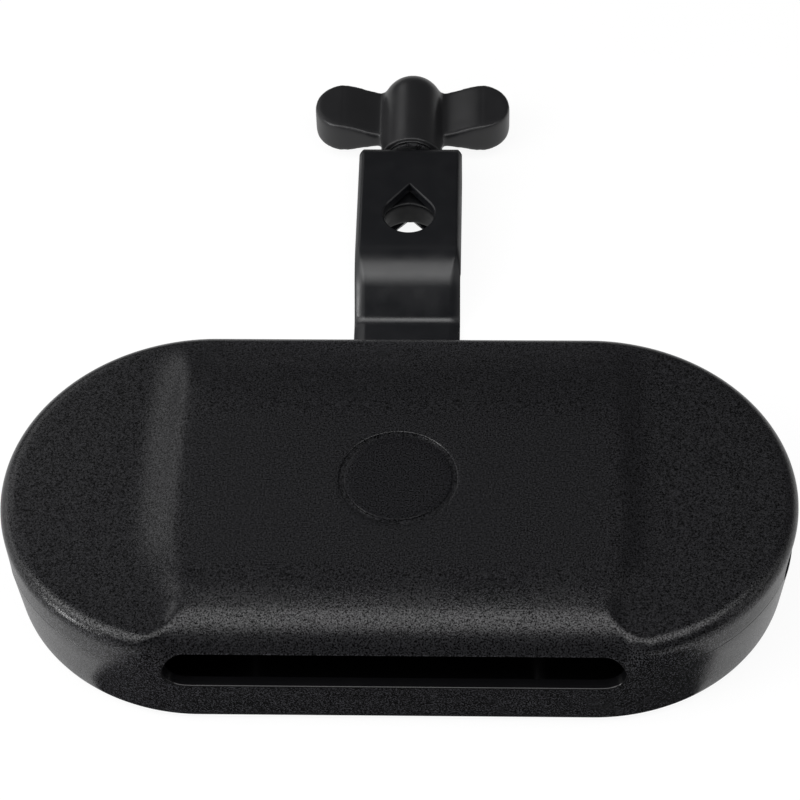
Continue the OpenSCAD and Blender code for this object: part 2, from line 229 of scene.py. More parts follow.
def mapped(material, value, low, high):
    """Stretches the middle of a noise over a range of values."""
    node = add_node(material, "ShaderNodeMapRange")
    node.inputs["From Min"].default_value = 0.35
    node.inputs["From Max"].default_value = 0.65
    node.inputs["To Min"].default_value = low
    node.inputs["To Max"].default_value = high
    material.node_tree.links.new(value, node.inputs["Value"])
    return node.outputs["Result"]


def add_bump(material, shader, height, strength, distance):
    """Adds fine relief, of one strength or of a strength that varies."""
    links = material.node_tree.links
    bump = add_node(material, "ShaderNodeBump")
    bump.inputs["Distance"].default_value = distance
    if isinstance(strength, float):
        bump.inputs["Strength"].default_value = strength
    else:
        links.new(strength, bump.inputs["Strength"])
    links.new(height, bump.inputs["Height"])
    links.new(bump.outputs["Normal"], shader.inputs["Normal"])


def inside_disc(material, radius, floor_z):
    """Gives 1 on the smooth disc in the top and 0 elsewhere."""
    links = material.node_tree.links
    place = add_node(material, "ShaderNodeTexCoord")
    split = add_node(material, "ShaderNodeSeparateXYZ")
    links.new(place.outputs["Object"], split.inputs[0])
    flat = add_node(material, "ShaderNodeCombineXYZ")
    links.new(split.outputs["X"], flat.inputs["X"])
    links.new(split.outputs["Y"], flat.inputs["Y"])
    reach = add_node(material, "ShaderNodeVectorMath", operation="LENGTH")
    links.new(flat.outputs[0], reach.inputs[0])
    near = add_node(material, "ShaderNodeMath", operation="LESS_THAN")
    links.new(reach.outputs["Value"], near.inputs[0])
    near.inputs[1].default_value = radius
    high = add_node(material, "ShaderNodeMath", operation="GREATER_THAN")
    links.new(split.outputs["Z"], high.inputs[0])
    high.inputs[1].default_value = floor_z
    both = add_node(material, "ShaderNodeMath", operation="MULTIPLY")
    links.new(near.outputs[0], both.inputs[0])
    links.new(high.outputs[0], both.inputs[1])
    return both.outputs[0]


def blend(material, factor, first, last):
    """Mixes two colours, each a plain one or the output of a node."""
    mix = add_node(material, "ShaderNodeMix", data_type="RGBA")
    links = material.node_tree.links
    links.new(factor, mix.inputs["Factor"])
    for name, colour in (("A", first), ("B", last)):
        if isinstance(colour, bpy.types.NodeSocket):
            links.new(colour, mix.inputs[name])
        else:
            mix.inputs[name].default_value = (*colour, 1)
    return mix.outputs["Result"]


def painted_wall_light_share(material):
    """Gives 1 on upright faces and 0 on those that face up, with a soft change: the mask of the
    painted light on the walls.
    """
    facing = add_node(material, "ShaderNodeNewGeometry")
    split = add_node(material, "ShaderNodeSeparateXYZ")
    share = add_node(material, "ShaderNodeMapRange")
    share.inputs["From Min"].default_value = 0.6
    share.inputs["From Max"].default_value = 0.15
    links = material.node_tree.links
    links.new(facing.outputs["Normal"], split.inputs[0])
    links.new(split.outputs["Z"], share.inputs["Value"])
    return share.outputs["Result"]


def grained_plastic(colours, sizes):
    """Black moulded plastic with a fine leather grain, smoother on the disc in the ring; painted
    shade darkens the grain's valleys and painted light brightens the upright walls.
    """
    material, shader = new_material("grained_plastic")
    links = material.node_tree.links
    shader.inputs["IOR"].default_value = 1.55
    patches = object_noise(material, 45, 3)
    links.new(mapped(material, patches, colours.plastic_roughness - 0.02,
                     colours.plastic_roughness + 0.03), shader.inputs["Roughness"])
    disc = inside_disc(material, sizes.ring_inner, crown_top - sizes.ring_depth / 2)
    depth = add_node(material, "ShaderNodeMapRange")
    links.new(disc, depth.inputs["Value"])
    depth.inputs["To Min"].default_value = 1.0
    depth.inputs["To Max"].default_value = 0.3
    grain = object_noise(material, 2500, 2, 0.6)
    # Painted shade: the grain's valleys get a near-black colour, standing in for shade in the
    # hollows.
    grain_and_valley_shade = mapped(material, grain, 0.0, 1.0)
    top_colour_with_valley_shade = blend(material, grain_and_valley_shade, 3 * (0.0005,),
                          [2.4 * part for part in colours.plastic])
    # Painted light: upright walls get a lighter colour than the top, standing in for the light
    # they catch; their valleys carry the same painted shade.
    wall_colour_with_painted_light = blend(material, mapped(material, grain, -0.6, 1.0), 3 * (0.001,),
                           [8 * part for part in colours.plastic])
    links.new(blend(material, painted_wall_light_share(material), top_colour_with_valley_shade, wall_colour_with_painted_light),
              shader.inputs["Base Color"])
    # Painted shade on the reflection: Specular Tint dims it in the grain's valleys, and on the
    # disc in the ring.
    gloss = add_node(material, "ShaderNodeMath", operation="MULTIPLY")
    links.new(grain_and_valley_shade, gloss.inputs[0])
    links.new(depth.outputs["Result"], gloss.inputs[1])
    links.new(blend(material, gloss.outputs[0], 3 * (0.06,), 3 * (1,)),
              shader.inputs["Specular Tint"])
    add_bump(material, shader, grain, depth.outputs["Result"], 0.05 * mm)
    return material


def uneven_finish(name, colour, cloud, dull, relief=None):
    """Gives one colour with cloudy gloss: cloud is its noise, relief (noise, strength, mm)."""
    material, shader = new_material(name)
    shader.inputs["Base Color"].default_value = (*colour, 1)
    material.node_tree.links.new(mapped(material, object_noise(material, *cloud), *dull),
                                 shader.inputs["Roughness"])
    if relief:
        noise, strength, distance = relief
        add_bump(material, shader, object_noise(material, *noise), strength, distance * mm)
    return material, shader


def smooth_plastic(colours):
    """Ungrained black plastic inside the slots and on their lips."""
    colour = [0.6 * part for part in colours.plastic]
    return uneven_finish("smooth_plastic", colour, (90, 3), (0.12, 0.2))[0]


def satin_plastic(colours):
    """Smooth black plastic of the wing nut, with slight moulding waves."""
    material, shader = uneven_finish("satin_plastic", colours.grip, (130, 4), (0.30, 0.38),
                                     ((1500, 1), 0.10, 0.05))
    shader.inputs["IOR"].default_value = 1.46
    return material


def coated_steel(colours):
    """Glossy black coat on steel, with a faint orange peel."""
    return uneven_finish("coated_steel", colours.coat, (160, 5), (0.28, 0.36),
                         ((700, 2), 0.12, 0.08))[0]


def dark_eye_steel(colours):
    """Dull near-black steel on the eye bolt, at half the strap coat's colour, a little uneven."""
    colour = [0.5 * part for part in colours.coat]
    material, shader = uneven_finish("dark_eye_steel", colour, (300, 4), (0.35, 0.5),
                                     ((2200, 2), 0.15, 0.05))
    shader.inputs["IOR"].default_value = 1.33
    return material


def plated_steel(colours):
    """Bright zinc plate with uneven gloss."""
    material, shader = uneven_finish("plated_steel", colours.plate, (320, 4), (0.2, 0.36),
                                     ((2200, 2), 0.12, 0.05))
    shader.inputs["Metallic"].default_value = 1
    return material


def pad_rubber(colours):
    """Dull black rubber sheet."""
    return uneven_finish("pad_rubber", colours.rubber, (400, 3), (0.7, 0.85),
                         ((1800, 2), 0.25, 0.06))[0]


def shade(mesh, sharp):
    """Shades a mesh smoothly, except over edges that turn by more than an angle."""
    mesh.shade_smooth()
    mesh.set_sharp_from_angle(angle=sharp)


def new_object(name, mesh_data):
    """Puts a mesh into the scene as an object at the origin."""
    mesh = bpy.data.meshes.new(name)
    mesh_data.to_mesh(mesh)
    mesh_data.free()
    thing = bpy.data.objects.new(name, mesh)
    bpy.context.scene.collection.objects.link(thing)
    return thing


def finish_piece(mesh_data, name, material, body, node):
    """Makes a mesh a piece of the block: shading, finish, body and node."""
    piece = new_object(name, mesh_data)
    shade(piece.data, sharp_angle)
    piece.data.materials.append(material)
    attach(piece, body)
    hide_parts(node)
    return piece


def on_outline(station):
    """Gives the plan point and outward direction at a distance round the block."""
    side = 1 if station >= 0 else -1
    along = abs(station)
    if along <= end_x:
        point, out = Vector((along, -end_radius)), Vector((0, -1))
    elif along <= end_x + half_turn:
        angle = (along - end_x) / end_radius - math.pi / 2
        out = Vector((math.cos(angle), math.sin(angle)))
        point = Vector((end_x, 0)) + end_radius * out
    else:
        point = Vector((2 * end_x + half_turn - along, end_radius))
        out = Vector((0, 1))
    return Vector((side * point.x, point.y)), Vector((side * out.x, out.y))


def inward_depth(x, y):
    """Gives the distance from a plan point to the pill outline."""
    over = max(abs(x) - end_x, 0)
    return end_radius - math.hypot(over, y)


def along_line(points, y):
    """Gives a smooth value between listed ones."""
    at = y / mm
    if at <= points[0][0]:
        return points[0][1] * mm
    for index in range(len(points) - 1):
        (y0, x0), (y1, x1) = points[index], points[index + 1]
        if at <= y1:
            before = points[max(index - 1, 0)]
            after = points[min(index + 2, len(points) - 1)]
            m0 = (x1 - before[1]) / (y1 - before[0]) * (y1 - y0)
            m1 = (after[1] - x0) / (after[0] - y0) * (y1 - y0)
            t = (at - y0) / (y1 - y0)
            return mm * ((2 * t ** 3 - 3 * t ** 2 + 1) * x0 + (t ** 3 - 2 * t ** 2 + t) * m0
                         + (3 * t ** 2 - 2 * t ** 3) * x1 + (t ** 3 - t ** 2) * m1)
    return points[-1][1] * mm


def lobe_share(x, y):
    """Gives 0 on the raised field or the brow, 1 on a lobe, and the flank between."""
    over = softly_above(abs(x) - along_line(ridge_line, y), 1.2 * mm)
    part = min(over / along_line(flank_width, y), 1.0)
    long_foot = 1 - (1 - part) ** 2.2
    in_front = smooth_step((-35 * mm - y) / (8 * mm))
    return long_foot + (smooth_step(part) - long_foot) * in_front


def softly_above(value, blend):
    """Gives the value where it is above 0, and 0 below, with a soft turn."""
    return (value + math.sqrt(value * value + blend * blend)) / 2


def back_roof(y):
    """Gives the height of the raised field, which rolls down towards the back."""
    reach = max(y - back_roll_start, 0)
    return crown_top - back_roll_radius + math.sqrt(back_roll_radius ** 2 - reach ** 2)


def lobe_surface(depth):
    """Gives the height of a lobe's flat top and its rounded edge."""
    if depth >= edge_radius:
        return lobe_height
    rest = edge_radius - max(depth, 0)
    return lobe_height - edge_radius + math.sqrt(max(edge_radius ** 2 - rest ** 2, 0))


def brow_surface(y):
    """Gives the height of the rolled brow in front of the flat field."""
    if y >= nose_start:
        fall = roll_centre_z + math.sqrt(roll_radius ** 2 - (y - brow_start) ** 2)
        facet = crown_top - (brow_start - y) * brow_crease
        return facet if brow_start - y < crease_reach else fall
    reach = min(nose_centre.x - y, nose_radius)
    return nose_centre.y + math.sqrt(max(nose_radius ** 2 - reach ** 2, 0))


def top_height(x, y):
    """Gives the block's outer surface over a plan point."""
    depth = inward_depth(x, y)
    lobe = lobe_surface(depth)
    if y >= brow_start:
        field = lobe + softly_above(back_roof(y) - lobe_height, 0.3 * mm)
    else:
        field = brow_surface(y)
    return field + (lobe - field) * lobe_share(x, y)


def wall_point(station, depth, z):
    """Gives the point at a distance round the block, in from its wall, at a height."""
    point, out = on_outline(station)
    point -= depth * out
    return Vector((point.x, point.y, z))


def surface_depth(station, z):
    """Gives how far in from the wall the outer surface passes a height."""
    def height(depth):
        point = wall_point(station, depth, 0)
        return top_height(point.x, point.y)
    if z <= height(0):
        return 0.0
    low, high = 0.0, 14 * mm
    for _ in range(26):
        middle = (low + high) / 2
        if height(middle) < z:
            low = middle
        else:
            high = middle
    return high


def slot_end(middle, side, lip):
    """Lists the columns round one end of a slot, from its tip to its straight edge."""
    turns = [math.pi / 2 * step / 12 for step in range(12)]
    return [(middle + side * slot_half_height * math.cos(turn), slot_half_height * math.sin(turn),
             (side * math.cos(turn), math.sin(turn)), lip) for turn in turns]


def edge_stations(sizes):
    """Lists the columns round the block: station, rise of the slot edge, lip direction, lip."""
    lip, fine = sizes.slot_lip, sizes.parting_bevel
    slots = [(-end_station, end_slot_half), (0.0, front_slot_half), (end_station, end_slot_half)]
    rows = []
    reached = -round_length / 2
    for middle, half in slots + [(round_length / 2, None)]:
        stop = middle if half is None else middle - half - slot_half_height - lip
        count = max(int((stop - reached) / sizes.column_step), 2)
        first = 0 if not rows else 1
        last = count + 1 if half is None else count
        for step in range(first, last):
            rows.append((reached + (stop - reached) * step / count, 0.0, (0.0, 1.0), fine))
        if half is None:
            break
        count = int(2 * half / sizes.column_step)
        rows += slot_end(middle - half, -1, lip)
        rows += [(middle - half + 2 * half * step / count, slot_half_height, (0.0, 1.0), lip)
                 for step in range(count + 1)]
        rows += reversed(slot_end(middle + half, 1, lip))
        reached = middle + half + slot_half_height + lip
    return rows


def rounded_corner(first, corner, last, steps):
    """Gives points that turn a corner smoothly, ends included."""
    points = []
    for step in range(steps + 1):
        t = step / steps
        points.append((1 - t) ** 2 * first + 2 * t * (1 - t) * corner + t ** 2 * last)
    return points


def spaced(first, last, steps):
    """Gives the points between two points, the first left out."""
    return [first + (last - first) * step / steps for step in range(1, steps + 1)]


def on_top(point, below=0):
    """Gives the point of the top over a plan point, or a little below it."""
    return Vector((point.x, point.y, top_height(point.x, point.y) - below))


def over_top(station, sizes):
    """Gives the rows from the wall to the middle of the top for one column."""
    start = wall_point(station, top_start, 0)
    towards = start.normalized()
    rows = [on_top(point) for point in spaced(start, towards * hub_radius, 44)]
    middle, width = (sizes.ring_inner + sizes.ring_outer) / 2, sizes.ring_outer - sizes.ring_inner
    rows += [on_top(towards * (middle + width * reach), share * sizes.ring_depth)
             for reach, share in groove_section]
    rows += [on_top(towards * radius) for radius in hub_rings]
    rows.append(on_top(Vector((0, 0, 0))))
    return rows


def upper_column(row, sizes):
    """Gives one column of the upper shell, from the middle inside to the middle of the top."""
    station, rise, (side, up), lip = row
    edge_z = parting_height + rise
    depth = surface_depth(station, edge_z)
    corner = wall_point(station, depth, edge_z)
    inner_lip = wall_point(station, depth + lip, edge_z)
    inner_edge = wall_point(station, depth + wall, edge_z)
    lip_station, lip_z = station + side * lip, edge_z + up * lip
    lip_depth = surface_depth(lip_station, lip_z)
    outer_lip = wall_point(lip_station, lip_depth, lip_z)
    deep = wall_point(station, depth + wall + 3 * mm, 0)
    ceiling = top_height(deep.x, deep.y) - wall
    shoulder = Vector((deep.x, deep.y, ceiling))
    inside = wall_point(station, depth + wall + 0.3 * mm, max(edge_z + 0.5 * mm, ceiling - 3 * mm))
    rows = [Vector((0, 0, crown_top - wall))]
    rows += spaced(rows[0], Vector((shoulder.x * 0.8, shoulder.y * 0.8, ceiling)), 4)
    rows += [shoulder, inside, inner_edge]
    rows += rounded_corner(inner_lip, corner, outer_lip, 5)
    wall_top = wall_point(lip_station, 0, 0)
    edge_height = top_height(wall_top.x, wall_top.y)
    if lip_depth == 0 and edge_height > lip_z:
        rows += [wall_point(lip_station, 0, lip_z + (edge_height - lip_z) * step / 4)
                 for step in range(1, 5)]
        begin = 0.0
    else:
        begin = lip_depth + 0.4 * mm
        rows += [on_top(wall_point(lip_station, lip_depth + 0.1 * mm * step, 0))
                 for step in range(1, 5)]
    reaches = [edge_radius * (1 - math.cos(math.pi / 2 * step / 9)) for step in range(1, 10)]
    reaches = [begin + (top_start - begin) * reach / top_start for reach in
               reaches + [edge_radius + (top_start - edge_radius) * step / 9
                          for step in range(1, 10)]]
    rows += [on_top(wall_point(lip_station, reach, 0)) for reach in reaches]
    return rows + over_top(lip_station, sizes)


def wall_inset(z):
    """Gives how far the drafted wall stands in from the widest outline."""
    return foot_draft * (parting_height - z) / parting_height


def lower_column(row, sizes):
    """Gives one column of the lower shell, from the middle inside to the middle below."""
    station, rise, (side, up), lip = row
    edge_z = parting_height - rise
    depth = wall_inset(edge_z)
    corner = wall_point(station, depth, edge_z)
    inner_lip = wall_point(station, depth + lip, edge_z)
    inner_edge = wall_point(station, depth + wall, edge_z)
    lip_station, lip_z = station + side * lip, edge_z - up * lip
    outer_lip = wall_point(lip_station, wall_inset(lip_z), lip_z)
    lean = math.atan(foot_draft / parting_height)
    foot_in = wall_inset(0) + foot_radius * (1 - math.sin(lean)) / math.cos(lean)
    floor_z = 7 * mm
    shoulder = wall_point(station, wall + 6 * mm, floor_z)
    rows = [Vector((0, 0, floor_z))]
    rows += spaced(rows[0], shoulder, 3)
    rows += [wall_point(station, wall + 3.2 * mm, floor_z + 1.5 * mm), inner_edge]
    rows += rounded_corner(inner_lip, corner, outer_lip, 5)
    foot_points = []
    for step in range(9):
        turn = lean + (math.pi / 2 - lean) * step / 8
        foot_points.append(wall_point(lip_station, foot_in - foot_radius * math.cos(turn),
                                 foot_radius * (1 - math.sin(turn))))
    rows += spaced(outer_lip, foot_points[0], 4) + foot_points[1:]
    point = foot_points[-1]
    rows += spaced(point, Vector((0, 0, 0)), 7)
    return rows


def column_mesh(columns, smooth_rows):
    """Shapes a plain grid into a closed form, one grid line for each column."""
    mesh_data = bmesh.new()
    count, height = len(columns), len(columns[0])
    bmesh.ops.create_grid(mesh_data, x_segments=count - 1, y_segments=height - 1, size=1)
    for face in mesh_data.faces:
        row = (face.calc_center_median().y + 1) / 2 * (height - 1)
        face.material_index = int(smooth_rows[0] < row < smooth_rows[1])
    for vertex in mesh_data.verts:
        column = round((vertex.co.x + 1) / 2 * (count - 1))
        row = round((vertex.co.y + 1) / 2 * (height - 1))
        vertex.co = columns[column][row]
    bmesh.ops.remove_doubles(mesh_data, verts=mesh_data.verts, dist=0.002 * mm)
    bmesh.ops.recalc_face_normals(mesh_data, faces=mesh_data.faces)
    return mesh_data


def copied_node(node):
    """Gives a merged copy of a node's mesh, its flat faces made whole again."""
    mesh_data = bmesh.new()
    mesh_data.from_mesh(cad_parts[node].data)
    bmesh.ops.remove_doubles(mesh_data, verts=mesh_data.verts, dist=0.001 * mm)
    bmesh.ops.dissolve_limit(mesh_data, angle_limit=math.radians(0.5),
                             verts=mesh_data.verts, edges=mesh_data.edges)
    return mesh_data


def settle(piece):
    """Turns a piece's modifiers into its plain mesh."""
    graph = bpy.context.evaluated_depsgraph_get()
    result = bpy.data.meshes.new_from_object(piece.evaluated_get(graph))
    piece.modifiers.clear()
    piece.data = result
    shade(result, sharp_angle)


def cut_away(piece, cutter_data):
    """Takes a cutter's room out of a piece, and leaves a plain mesh."""
    cutter = new_object("cutter", cutter_data)
    cut = piece.modifiers.new("cut", "BOOLEAN")
    cut.operation, cut.object, cut.solver = "DIFFERENCE", cutter, "EXACT"
    settle(piece)
    bpy.data.objects.remove(cutter)


def melt_edges(piece, voxel, repeats, crisp_before=None):
    """Rounds every edge and inner corner as in a moulding, less before a given depth."""
    mesher = piece.modifiers.new("even_mesh", "REMESH")
    mesher.mode, mesher.voxel_size = "VOXEL", voxel
    settle(piece)
    mesh_data = bmesh.new()
    mesh_data.from_mesh(piece.data)
    soft = [vertex for vertex in mesh_data.verts
            if crisp_before is None or vertex.co.y > crisp_before]
    for step in range(repeats):
        bmesh.ops.smooth_vert(mesh_data, verts=mesh_data.verts if step < 2 else soft,
                              factor=0.5, use_axis_x=True, use_axis_y=True, use_axis_z=True)
    mesh_data.to_mesh(piece.data)
    mesh_data.free()
    shade(piece.data, math.radians(60))


def wrapped_grid(columns, rows, position):
    """Bends a grid into a closed skin: position(row, column) gives each point."""
    mesh_data = bmesh.new()
    bmesh.ops.create_grid(mesh_data, x_segments=columns, y_segments=rows - 1, size=1)
    for vertex in mesh_data.verts:
        column = round((vertex.co.x + 1) / 2 * columns) % columns
        vertex.co = position(round((vertex.co.y + 1) / 2 * (rows - 1)), column)
    bmesh.ops.remove_doubles(mesh_data, verts=mesh_data.verts, dist=0.001 * mm)
    bmesh.ops.recalc_face_normals(mesh_data, faces=mesh_data.faces)
    return mesh_data


def bent_path(corners, radii, steps=12):
    """Gives the places along a bent strip, each with the strip's direction there."""
    legs = [(last - first).normalized() for first, last in zip(corners, corners[1:])]
    path = []
    for corner, radius, before, after in zip(corners[1:-1], radii, legs, legs[1:]):
        aside = Vector((-before.y, before.x)) * (1 if before.cross(after) > 0 else -1)
        turn = before.angle(after)
        reach = radius * math.tan(turn / 2)
        path.append((corner - before * (reach + 0.5 * mm), before))
        for step in range(steps + 1):
            angle = turn * step / steps
            path.append((corner - before * reach + radius * (
                math.sin(angle) * before + (1 - math.cos(angle)) * aside),
                math.cos(angle) * before + math.sin(angle) * aside))
        path.append((corner + after * (reach + 0.5 * mm), after))
    return path


def strip_section(half_width, half_thickness, roll):
    """Gives the outline of a strip with rolled, slightly flattened edges: (across, up)."""
    def flattened(value):
        return math.copysign(abs(value) ** 1.6, value)

    inner = half_width - roll
    points = []
    for first, last, side in ((0, 8, 1), (8, 16, -1), (17, 24, -1), (24, 31, 1)):
        arc = [(side * inner + roll * flattened(math.cos(math.pi * step / 16)),
                half_thickness * flattened(math.sin(math.pi * step / 16)))
               for step in range(first, last + 1)]
        if first in (8, 24):
            arc.insert(0, (side * (inner - 0.5 * mm), arc[0][1]))
        else:
            arc.append((side * (inner - 0.5 * mm), arc[-1][1]))
        points += arc
    return points


def end_rows(place, inwards, half_width, corner):
    """Gives the rows that round off a strip's end: (place, direction, width, thickness)."""
    rows = [(place, inwards, 1 - corner / half_width, 0.0)]
    for step in range(7):
        turn = math.pi / 2 * step / 6
        run = corner * (1 - math.cos(turn))
        rest = 1 - min(run / (0.7 * mm), 1)
        rows.append((place + inwards * run, inwards,
                     1 - corner * (1 - math.sin(turn)) / half_width,
                     0.5 + 0.5 * math.sqrt(1 - rest * rest)))
    return rows


def swept_strip(corners, radii, half_width, half_thickness, roll):
    """Shapes a grid into a bent strip with rolled edges and rounded ends."""
    wide_roll = strip_section(half_width, half_thickness, roll)
    tight_roll = strip_section(half_width, half_thickness, 0.4 * roll)
    first = end_rows(corners[0], (corners[1] - corners[0]).normalized(), half_width, 3 * mm)
    last = end_rows(corners[-1], (corners[-2] - corners[-1]).normalized(), half_width, 3 * mm)
    rows = first + [(place, along, 1, 1) for place, along in bent_path(corners, radii)]
    rows += [(place, -inwards, wide, thick) for place, inwards, wide, thick in reversed(last)]

    def position(row, column):
        # The edges are rolled wide on the rise and tight on the jaws.
        place, along, wide, thick = rows[row]
        risen = smooth_step((place.x - corners[2].x + 4 * mm) / (9 * mm))
        across, up = Vector(wide_roll[column]).lerp(Vector(tight_roll[column]), risen)
        spot = place + Vector((-along.y, along.x)) * up * thick
        return (across * wide, spot.x, spot.y)

    return wrapped_grid(len(wide_roll), len(rows), position)


def hole_cutter(centre_y, radius, rings, notch=90, columns=96):
    """Shapes a cutter for a hole: rings are (z, added radius), notch its half angle."""
    tangent = math.radians(90 - notch)

    def position(row, column):
        z, more = rings[min(max(row - 1, 0), len(rings) - 1)]
        turn = 2 * math.pi * column / columns
        away = min(turn, 2 * math.pi - turn)
        reach = radius / math.cos(max(tangent - away, 0)) + more
        if row in (0, len(rings) + 1):
            reach = 0
        return (reach * math.sin(turn), centre_y + reach * math.cos(turn), z)

    return wrapped_grid(columns, len(rings) + 2, position)


class BuildShells(bpy.types.Operator):
    """Build the upper and lower shells with their rounded edges"""

    bl_idname = "percussion_block.build_shells"
    bl_label = "Shells"

    def execute(self, context):
        sizes = context.scene.block_sizes
        material = grained_plastic(context.scene.finish_colours, sizes)
        stations = edge_stations(sizes)
        smooth = smooth_plastic(context.scene.finish_colours)
        upper = [upper_column(row, sizes) for row in stations]
        cover = finish_piece(column_mesh(upper, (0, 11)), "upper_skin", material, "block",
                             "upper_shell")
        cover.data.materials.append(smooth)
        lower = [lower_column(row, sizes) for row in stations]
        tray = finish_piece(column_mesh(lower, (0, 10)), "lower_skin", material, "block",
                            "lower_shell")
        tray.data.materials.append(smooth)
        self.cut_underside(tray)
        return {"FINISHED"}

    def cut_underside(self, tray):
        """Cuts the strap's seat and the screw holes into the lower shell."""
        pad_low, pad_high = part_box("bracket_pad")
        gap = 0.3 * mm
        hole_radius = 3.6 * mm
        cutter = bmesh.new()
        seat_low = Vector((pad_low.x - gap, pad_low.y - gap, -2 * mm))
        seat_high = Vector((pad_high.x + gap, 60 * mm, pad_high.z))
        middle, size = (seat_low + seat_high) / 2, seat_high - seat_low
        bmesh.ops.create_cube(cutter, size=1, matrix=Matrix.LocRotScale(middle, None, size))
        for x, y in shell_screws:
            for side in (-1, 1):
                bmesh.ops.create_cone(
                    cutter, cap_ends=True, segments=32, radius1=hole_radius, radius2=hole_radius,
                    depth=8 * mm, matrix=Matrix.Translation((side * x * mm, y * mm, 1.4 * mm)))
        cut_away(tray, cutter)


class BuildClamp(bpy.types.Operator):
    """Build the strap bracket, the eye bolt and the wing nut"""

    bl_idname = "percussion_block.build_clamp"
    bl_label = "Strap and clamp"

    def execute(self, context):
        sizes = context.scene.clamp_sizes
        colours = context.scene.finish_colours
        self.build_strap(sizes, coated_steel(colours))
        bolt = finish_piece(copied_node("eye_bolt"), "eye_and_shank", dark_eye_steel(colours),
                            "eye", "eye_bolt")
        melt_edges(bolt, 0.4 * mm, sizes.bolt_softening)
        grip = finish_piece(copied_node("wing_nut_grip"), "wings_and_boss",
                            satin_plastic(colours), "wing_nut", "wing_nut_grip")
        crisp_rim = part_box("wing_nut_grip")[0].y + 1.4 * mm
        melt_edges(grip, 0.4 * mm, sizes.wing_softening, crisp_rim)
        for vertex in grip.data.vertices:
            vertex.co = self.eased_wing(vertex.co)
        bush = copied_node("wing_nut_insert")
        self.flare_bush(bush)
        finish_piece(bush, "flanged_bush", plated_steel(colours), "wing_nut",
                     "wing_nut_insert")
        return {"FINISHED"}

    def eased_wing(self, point):
        """Turns the straight swell of the wings into a soft one."""
        from_axis = math.hypot(point.x, point.z - clamp_z)
        beyond = smooth_step((from_axis - boss_radius) / (0.7 * mm))
        along = (abs(point.x) - wing_thin_x) / mm
        straight = 2.5 + 2.5 * min(max(along / 12, 0), 1)
        soft = 2.4 + 2.6 * smooth_step(along / 13)
        scale = 1 + (soft / straight - 1) * beyond
        return Vector((point.x, point.y, clamp_z + (point.z - clamp_z) * scale))

    def flare_bush(self, bush):
        """Gives the bush the flange that shows in the wing nut's mouth."""
        flange_end, flange_share = 139.7 * mm, 1.3
        for aside in (-0.1 * mm, 0.2 * mm):
            bmesh.ops.bisect_plane(
                bush, geom=bush.verts[:] + bush.edges[:] + bush.faces[:],
                plane_co=(0, flange_end + aside, 0), plane_no=(0, 1, 0))
        for vertex in bush.verts:
            x, z = vertex.co.x, vertex.co.z - clamp_z
            if vertex.co.y < flange_end and math.hypot(x, z) > 5 * mm:
                vertex.co.x, vertex.co.z = flange_share * x, clamp_z + flange_share * z
        bmesh.ops.recalc_face_normals(bush, faces=bush.faces)

    def build_strap(self, sizes, coat):
        """Sweeps the strap, then cuts its rod hole, bolt hole and screw holes."""
        low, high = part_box("bracket")
        half_thickness = 1.5 * mm
        bottom, top = low.z + half_thickness, high.z - half_thickness
        rear = high.y - half_thickness
        corners = [Vector(point) for point in (
            (low.y, bottom), (rise_foot_y, bottom), (rise_head_y, top), (rear, top),
            (rear, bottom), (strap_end_y, bottom))]
        strap = finish_piece(
            swept_strip(corners, bend_radii, high.x, half_thickness, sizes.strap_edge),
            "strap", coat, "block", "bracket")
        rings = [(z * mm, more * mm) for z, more in rod_hole_rings]
        cut_away(strap, hole_cutter(rod_y, rod_hole_radius, rings, notch=38))
        sink = [(0, 3.5 * mm), (1 * mm, 2.5 * mm), (3.5 * mm, 0), (5 * mm, 0)]
        for y in strap_screw_y:
            cut_away(strap, hole_cutter(y, 2.7 * mm, sink, columns=48))
        cutter = bmesh.new()
        turned = Matrix.Translation((0, rear, clamp_z)) @ Matrix.Rotation(math.pi / 2, 4, "X")
        bmesh.ops.create_cone(cutter, cap_ends=True, segments=48, radius1=4.3 * mm,
                              radius2=4.3 * mm, depth=8 * mm, matrix=turned)
        cut_away(strap, cutter)


class FinishSmallParts(bpy.types.Operator):
    """Give the screws, nuts, washers, plate and pad their finishes"""

    bl_idname = "percussion_block.finish_small_parts"
    bl_label = "Small parts"

    def execute(self, context):
        colours = context.scene.finish_colours
        zinc, coat = plated_steel(colours), coated_steel(colours)
        rubber = pad_rubber(colours)
        finishes = {"shell_screws": zinc, "backing_plate": zinc, "bracket_lock_washers": zinc,
                    "bracket_nuts": zinc, "bracket_screws": coat, "bracket_pad": rubber}
        for name, material in finishes.items():
            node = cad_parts[name]
            node.data.materials.clear()
            node.data.materials.append(material)
        return {"FINISHED"}


def add_area_light(name, place_at, look_at, width, depth, power):
    """Adds one soft studio light that faces a point."""
    data = bpy.data.lights.new(name, "AREA")
    data.shape, data.size, data.size_y, data.energy = "RECTANGLE", width, depth, power
    light = bpy.data.objects.new(name, data)
    light.location = place_at
    direction = Vector(look_at) - Vector(place_at)
    light.rotation_euler = direction.to_track_quat("-Z", "Y").to_euler()
    bpy.context.scene.collection.objects.link(light)
    return light


